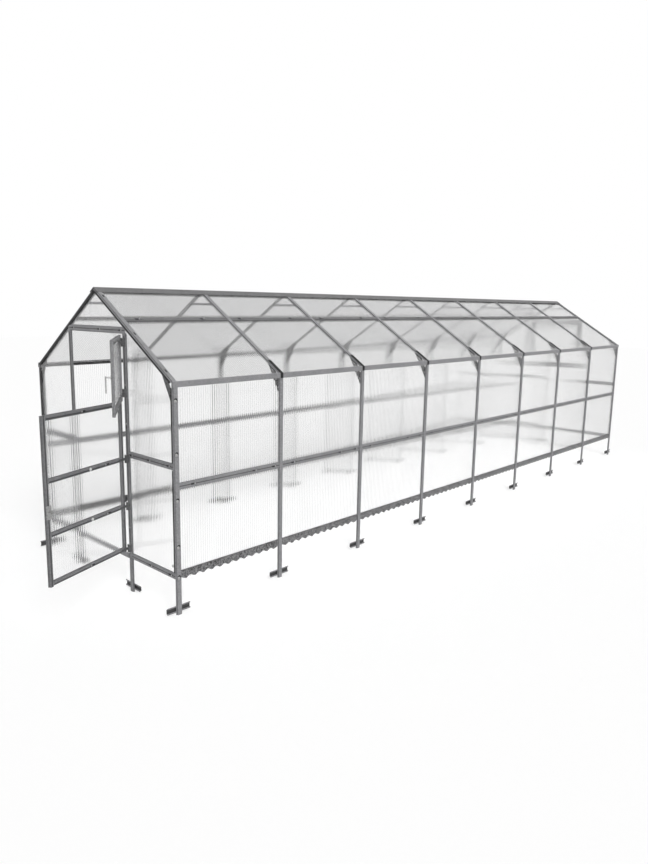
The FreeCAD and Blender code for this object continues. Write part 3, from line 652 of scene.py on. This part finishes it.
post_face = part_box("door_hinge_post")[0].y
post_middle = middle_of("door_hinge_post", "x")
door_post_slots = [((post_middle, post_face, z), FRONTWARD, UPRIGHT) for z in POST_SLOT_HEIGHTS]
knee_bolts = [((side * x, start - PLATE_HALF, z), FRONTWARD, ALONG_GABLE)
              for side in SIDES for start in bay_starts[1:] for x, z in KNEE_BOLTS]
sheet_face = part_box("gable_sheets_front")[0].y
house_buttons = [((x, sheet_face, z), FRONTWARD, ALONG_GABLE)
                 for x in (-BUTTON_ACROSS, BUTTON_ACROSS) for z in BUTTON_HEIGHTS]
print("slots on the house:", len(house_slots), "knee bolts:", len(knee_bolts))

# %% [markdown]
# ## Fasteners on the leaves and the vent
# Both leaves of the door stand open at rest, each at its own angle, while the vent is shut.
# Their places could be typed in as they stand, but would be hard to read.
# So a place is given along the leaf, from its pin, and turned by the leaf's angle.

# %% Places on the leaves and the vent
REARWARD = (0, 1, 0)
PIN = Vector((0.415, -0.024, 0))
LEAF_FACE = 0.003
RAIL_HALF = 0.019
MIDDLE_RAILS = (0.428, 0.791)
MIDDLE_SLOT, MIDDLE_BUTTON = 0.2, 0.37
LOWER_TOP_SLOT, LOWER_FOOT_SLOT = 0.418, 0.39
UPPER_SLOTS = (0.25, 0.53)
VENT_SLOTS = (-0.2, 0.2)


def on_leaf(angle, along, height):
    """A place on an open leaf's outer crowns, its normal and the way along the leaf."""
    turn = math.radians(angle)
    way = Vector((-math.cos(turn), -math.sin(turn), 0))
    outward = Vector((math.sin(turn), -math.cos(turn), 0))
    return PIN + way * along - outward * LEAF_FACE + Vector((0, 0, height)), outward, way


def rail_heights(name):
    """The heights of the lowest and of the highest rail of a leaf or the vent."""
    low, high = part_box(name)
    return low.z + RAIL_HALF, high.z - RAIL_HALF


lower_foot, lower_top = rail_heights("lower_leaf_rails")
upper_foot, upper_top = rail_heights("upper_leaf_rails")
vent_foot, vent_top = rail_heights("vent_rails")
vent_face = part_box("vent_rails")[1].y
lower_slots = [on_leaf(LOWER_REST, LOWER_TOP_SLOT, lower_top),
               on_leaf(LOWER_REST, LOWER_FOOT_SLOT, lower_foot)]
lower_slots += [on_leaf(LOWER_REST, MIDDLE_SLOT, height) for height in MIDDLE_RAILS]
lower_buttons = [on_leaf(LOWER_REST, MIDDLE_BUTTON, height) for height in MIDDLE_RAILS]
upper_slots = [on_leaf(UPPER_REST, along, height)
               for along in UPPER_SLOTS for height in (upper_top, upper_foot)]
vent_slots = [((x, vent_face, height), REARWARD, ALONG_GABLE)
              for x in VENT_SLOTS for height in (vent_top, vent_foot)]
print("slots on the leaves and the vent:", len(lower_slots) + len(upper_slots) + len(vent_slots))

# %% [markdown]
# ## Setting the fasteners
# A screw rarely sits in the middle of its slot, so it is drawn a little along it.
# The caps on the corner posts hang a little low and to one side, which leaves a rim of the cup's painted
# shade showing.
# Slots and screws are two pieces, because the slots are dark with painted shade and the screws bright.

# %% All fasteners
SCREW_SHIFT, CAP_DROP = 0.013, 0.006
pale_cap = zinc("pale_cap", (0.5, 0.5, 0.49), (0.68, 0.68, 0.67), BRIGHT, metal=0.0)


def screwed_slots(body, shade_liners, screws, places, slot_shape=add_slot_shade, screw_shape=add_screw):
    """Two pieces on a body: the painted shade liners of its slots and the screws in them."""
    fasteners(shade_liners, body, places, slot_shape, "dark_strap")
    fasteners(screws, body, shifted(places, SCREW_SHIFT), screw_shape, "hardware")


for body, places in (("house", house_slots), ("lower_leaf", lower_slots), ("upper_leaf", upper_slots),
                     ("vent", vent_slots)):
    screwed_slots(body, body + "_slot_shade_liners", body + "_screws", places)
screwed_slots("house", "house_door_post_slot_shades", "house_door_post_screws", door_post_slots,
              screw_shape=add_flat_screw)
screwed_slots("house", "house_purlin_slot_shades", "house_purlin_screws", purlin_slots, add_wide_slot_shade)
post_caps = shifted(post_cups, -CAP_DROP, CAP_DROP / 2)
fasteners("house_knee_bolts", "house", knee_bolts, add_screw, "hardware")
fasteners("house_post_cup_shades", "house", post_cups, add_cup_shade, "dark_strap")
fasteners("house_post_caps", "house", post_caps, add_button, "hardware")
fasteners("house_sheet_buttons", "house", house_buttons, add_button, "hardware", pale_cap)
fasteners("lower_leaf_buttons", "lower_leaf", lower_buttons, add_button, "hardware", pale_cap)
print("caps:", len(post_caps), "buttons:", len(house_buttons) + len(lower_buttons))

# %% [markdown]
# ## Thin strips
# Grooves, the steps at the gables and the open cells of the sheets all show as thin straight marks of painted
# shade on a face.
# A flat mark in the face itself would flicker, because two surfaces would share one place.
# So a strip stands out by less than a millimetre where it can, and its sides are bevelled.

# %% Drawing strips
def add_strip(mesh, where, length, width, rise, bevel):
    """A low strip along X with bevelled sides."""
    section = ((-width / 2, 0), (-width / 2 + bevel, rise), (width / 2 - bevel, rise), (width / 2, 0))
    ends = []
    for x in (-length / 2, length / 2):
        ends.append([mesh.verts.new(where @ Vector((x, y, z))) for y, z in section])
    for i in range(len(section)):
        j = (i + 1) % len(section)
        mesh.faces.new((ends[0][i], ends[1][i], ends[1][j], ends[0][j]))
    mesh.faces.new(ends[0])
    mesh.faces.new(reversed(ends[1]))


def strips(name, body, runs, section, finish):
    """One piece of strips: a run is a start, an end and the normal of the face that it lies on."""
    mesh = bmesh.new()
    for start, end, normal in runs:
        start, end = Vector(start), Vector(end)
        way = end - start
        add_strip(mesh, seat((start + end) / 2, normal, way), way.length, *section)
    set_on(body, name, mesh, finish)


print("a strip runs from a start to an end on a face")

# %% [markdown]
# ## Grooves along the rails
# A groove is rolled along each rail to stiffen it, and the slots sit in it.
# Cutting it would change the steel of the model.
# So a thin dark strip stands for the shade inside the groove.

# %% Grooves of the rails
CROWN_HALF = 0.017
GROOVE_RISE = 0.0004
RAIL_GROOVE = 0.007, GROOVE_RISE, GROOVE_RISE
GABLE_GROOVE_ENDS, LINTEL_GROOVE_END = (0.425, 0.985), 0.42
groove_grey = zinc("groove_shade", (0.04, 0.04, 0.041), (0.08, 0.08, 0.082), DULL, metal=0.2)
rail_runs = []
for side in SIDES:
    x = side * rail_face
    for start in bay_starts:
        low = start + CROWN_HALF
        high = low + bay_length - 2 * CROWN_HALF
        rail_runs.append(((x, low, rail_height), (x, high, rail_height), (side, 0, 0)))
        place, normal = on_roof(PURLIN_RUN, low, side, rail_set)[:2]
        rail_runs.append((place, on_roof(PURLIN_RUN, high, side, rail_set)[0], normal))
for gable, out, corner in GABLES:
    # The box of the sills holds the threshold too, which stands out more, so the rails give the face.
    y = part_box("gable_rails_" + gable)[corner].y
    for bar in ("gable_rails_", "sills_"):
        z = middle_of(bar + gable, "z")
        for side in SIDES:
            inner, outer = (side * end for end in GABLE_GROOVE_ENDS)
            rail_runs.append(((inner, y, z), (outer, y, z), (0, out, 0)))
    y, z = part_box("lintel_" + gable)[corner].y, middle_of("lintel_" + gable, "z")
    rail_runs.append(((-LINTEL_GROOVE_END, y, z), (LINTEL_GROOVE_END, y, z), (0, out, 0)))
strips("house_rail_grooves", "house", rail_runs, RAIL_GROOVE, groove_grey)
print("grooves on the rails:", len(rail_runs))

# %% [markdown]
# ## Grooves of the door
# The door posts and the bars of both leaves are rolled with wider grooves than the rails.
# One piece for all of them would stay behind when a leaf moves.
# So each body has its own, and a leaf's strips are set along it at its open angle.

# %% Grooves of the door posts and the leaves
POST_GROOVE = 0.014, GROOVE_RISE, GROOVE_RISE
LEAF_GROOVE = 0.01, GROOVE_RISE, GROOVE_RISE
POST_GROOVE_ENDS = (0.06, 1.7)
LEAF_STILES = (0.027, 0.776)
GROOVE_DROP = 0.0055


def leaf_runs(angle, name, heights):
    """Grooves along a leaf's rails at some heights, and up its two stiles."""
    foot, top = (corner.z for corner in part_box(name))
    first, last = LEAF_STILES[0] + RAIL_HALF, LEAF_STILES[1] - RAIL_HALF
    spans = [(first, height - GROOVE_DROP, last, height - GROOVE_DROP) for height in heights]
    spans += [(along, foot, along, top) for along in LEAF_STILES]
    runs = []
    for near, low, far, high in spans:
        start, normal = on_leaf(angle, near, low)[:2]
        runs.append((start, on_leaf(angle, far, high)[0], normal))
    return runs


foot, top = POST_GROOVE_ENDS
post_runs = [((x, post_face, foot), (x, post_face, top), FRONTWARD) for x in (post_middle, -post_middle)]
lower_runs = leaf_runs(LOWER_REST, "lower_leaf_rails", (lower_foot, *MIDDLE_RAILS, lower_top))
upper_runs = leaf_runs(UPPER_REST, "upper_leaf_rails", (upper_foot, upper_top))
# The dark strips paint the shade inside the grooves.
strips("house_door_post_grooves", "house", post_runs, POST_GROOVE, groove_grey)
strips("lower_leaf_grooves", "lower_leaf", lower_runs, LEAF_GROOVE, groove_grey)
strips("upper_leaf_grooves", "upper_leaf", upper_runs, LEAF_GROOVE, groove_grey)
print("grooves of the door:", len(post_runs) + len(lower_runs) + len(upper_runs))

# %% [markdown]
# ## Painted shade in the steps of the gables
# The step between the gable sheets and the corner posts and rafters lies in shade.
# It could be a line drawn in a finish, but the step has a depth.
# A nearly black strip with bevelled sides fills it as painted shade, with a dull, rough sheen.

# %% Painted shade in the steps
STEP_SHADE_WIDTH, STEP_SHADE_RISE, STEP_SHADE_BEVEL = 0.02, 0.0095, 0.002
STEP_SHADE_HEIGHTS = ((0.052, 0.795), (0.849, 1.37))
STEP_SHADE_RUN = (0.03, 1.16)
# The nearly black strip is painted shade in the step.
step_shade_black = zinc("step_shade", (0.012, 0.012, 0.012), (0.03, 0.03, 0.031), roughness=(0.6, 0.8), metal=0.0)
post_depth = wall_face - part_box("corner_post_front_right")[0].x
step_shade_set = post_depth + STEP_SHADE_WIDTH / 2
step_shade_runs = []
for y, out in ((sheet_face, -1), (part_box("gable_sheets_rear")[1].y, 1)):
    for side in SIDES:
        x = side * (wall_face - step_shade_set)
        step_shade_runs += [((x, y, low), (x, y, high), (0, out, 0)) for low, high in STEP_SHADE_HEIGHTS]
        low, high = (on_roof(run, y, side, step_shade_set)[0] for run in STEP_SHADE_RUN)
        step_shade_runs.append((low, high, (0, out, 0)))
strips("house_gable_step_shades", "house", step_shade_runs, (STEP_SHADE_WIDTH, STEP_SHADE_RISE, STEP_SHADE_BEVEL), step_shade_black)
print("step_shades:", len(step_shade_runs))

# %% [markdown]
# ## Open cells of the roof sheets
# Where a roof sheet slips under a purlin or the ridge cap, the open ends of its cells show as dark dots.
# They could be a pattern in the finish, but that would have to know where each sheet ends.
# Short strips of painted shade one flute apart are easier to place.

# %% Cells
CELL_WIDTH, CELL_RISE = 0.009, 0.0006
CELL_SPANS = ((0.712, 0.734), (1.112, 1.145))
cell_shade = zinc("cell_shade", (0.03, 0.03, 0.03), (0.08, 0.08, 0.08), roughness=(0.5, 0.7), metal=0.0)
cells_in_bay = range(1, int((bay_length - 2 * CROWN_HALF) / FLUTE_PITCH))
cell_runs = []
for side in SIDES:
    for start in bay_starts:
        for step in cells_in_bay:
            y = start + CROWN_HALF + step * FLUTE_PITCH
            for low, high in CELL_SPANS:
                place, normal = on_roof(low, y, side, post_depth)[:2]
                cell_runs.append((place, on_roof(high, y, side, post_depth)[0], normal))
strips("house_roof_cell_shades", "house", cell_runs, (CELL_WIDTH, CELL_RISE, CELL_RISE), cell_shade)
print("cells:", len(cell_runs))
